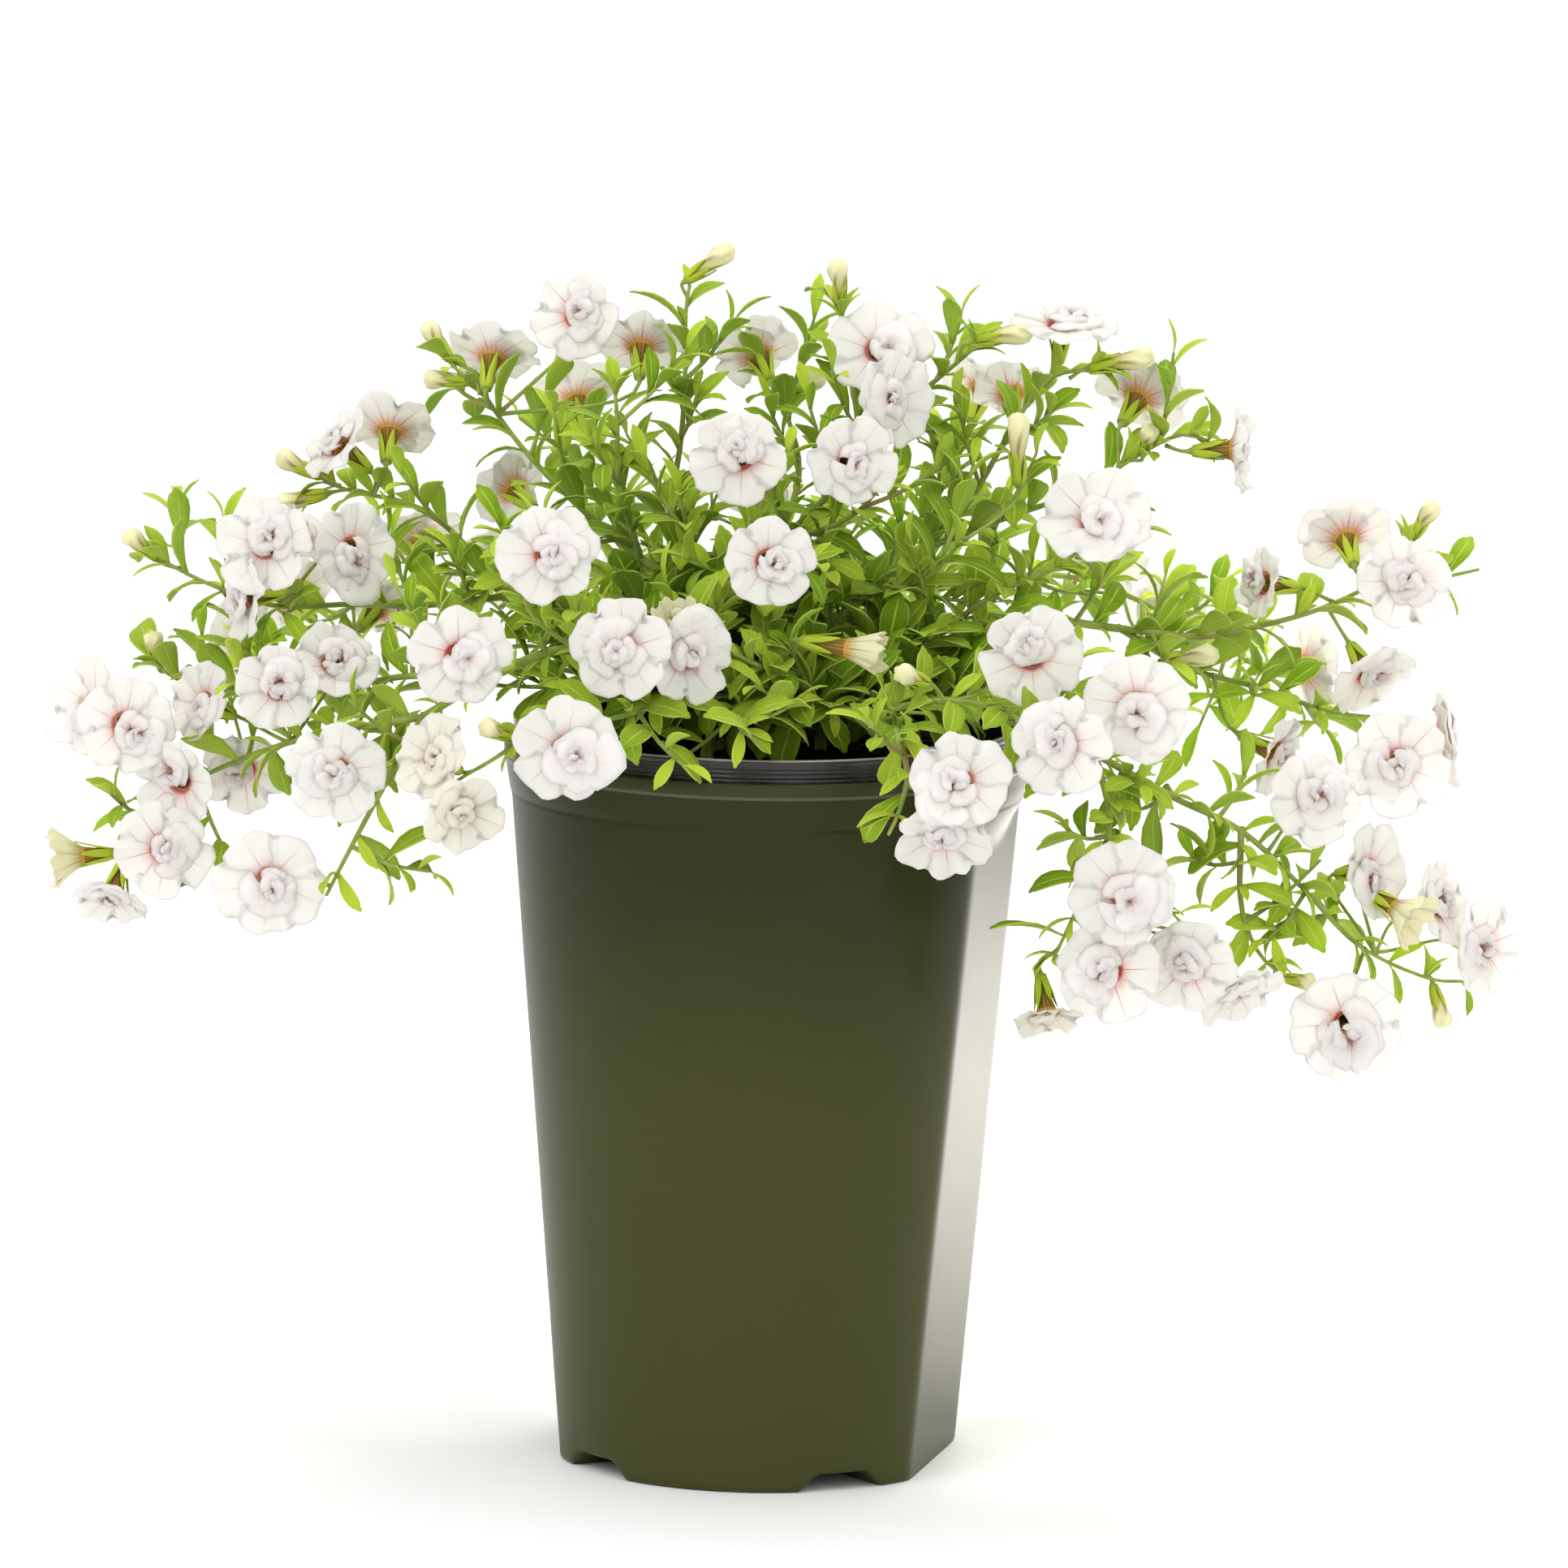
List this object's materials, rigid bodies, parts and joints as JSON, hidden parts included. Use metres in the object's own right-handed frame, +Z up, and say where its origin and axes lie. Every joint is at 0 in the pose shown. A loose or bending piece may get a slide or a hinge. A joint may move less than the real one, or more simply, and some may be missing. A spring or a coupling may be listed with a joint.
{
  "type": "potted double-flowered calibrachoa",
  "caption": "Trailing calibrachoa with white double blooms on leafy stems, growing in a tall nursery pot with two flat sides.",
  "frame": {"origin": "centre of the pot's underside, on the surface it stands on", "axes": "+Z up along the pot's axis; -Y out of the pot's broad front side; +X and -X out of its two flat sides"},
  "size_m": [0.4051, 0.2985, 0.3458],
  "materials": {
    "pot_plastic": "satin",
    "peat": "matte",
    "foliage": "satin",
    "white_petals": "matte",
    "cream_petals": "matte"
  },
  "bodies": {
    "root": {"pot": "pot_plastic", "soil": "peat", "stem_back": "foliage", "stem_front": "foliage", "stem_left_high": "foliage", "stem_left_low": "foliage", "stem_right": "foliage", "stem_top": "foliage", "stem_top_left": "foliage", "stem_top_right": "foliage", "bloom_back_crest_left": "white_petals", "bloom_back_crest_right": "white_petals", "bloom_back_far_right": "white_petals", "bloom_back_inner": "white_petals", "bloom_back_left": "white_petals", "bloom_back_left_high": "white_petals", "bloom_back_low": "white_petals", "bloom_back_middle": "white_petals", "bloom_back_right": "white_petals", "bloom_behind_left": "white_petals", "bloom_behind_right": "white_petals", "bloom_between_right": "white_petals", "bloom_cluster_left": "white_petals", "bloom_cream_left": "cream_petals", "bloom_cream_right": "cream_petals", "bloom_crest_back": "white_petals", "bloom_crest_left": "white_petals", "bloom_crest_right": "white_petals", "bloom_far_left": "white_petals", "bloom_far_right": "white_petals", "bloom_funnel_left": "cream_petals", "bloom_half_open": "cream_petals", "bloom_hanging_right": "white_petals", "bloom_hidden_left": "white_petals", "bloom_hidden_right": "white_petals", "bloom_high_right": "white_petals", "bloom_inner_left": "white_petals", "bloom_inner_right": "white_petals", "bloom_low_left": "white_petals", "bloom_low_right": "white_petals", "bloom_lowest_left": "white_petals", "bloom_lowest_right": "white_petals", "bloom_middle": "white_petals", "bloom_middle_left": "white_petals", "bloom_middle_right": "white_petals", "bloom_outer_left": "white_petals", "bloom_outer_right": "white_petals", "bloom_over_rim": "white_petals", "bloom_pair_front": "white_petals", "bloom_pair_right": "white_petals", "bloom_rim_left": "white_petals", "bloom_shoulder_left": "white_petals", "bloom_shoulder_right": "white_petals", "bloom_side_right": "white_petals", "bloom_small_left": "white_petals", "bloom_top_right": "white_petals", "bloom_trailing_left": "white_petals", "bloom_trailing_right": "white_petals", "bloom_upper_middle": "white_petals", "bloom_upper_near": "white_petals"}
  },
  "joints": []
}
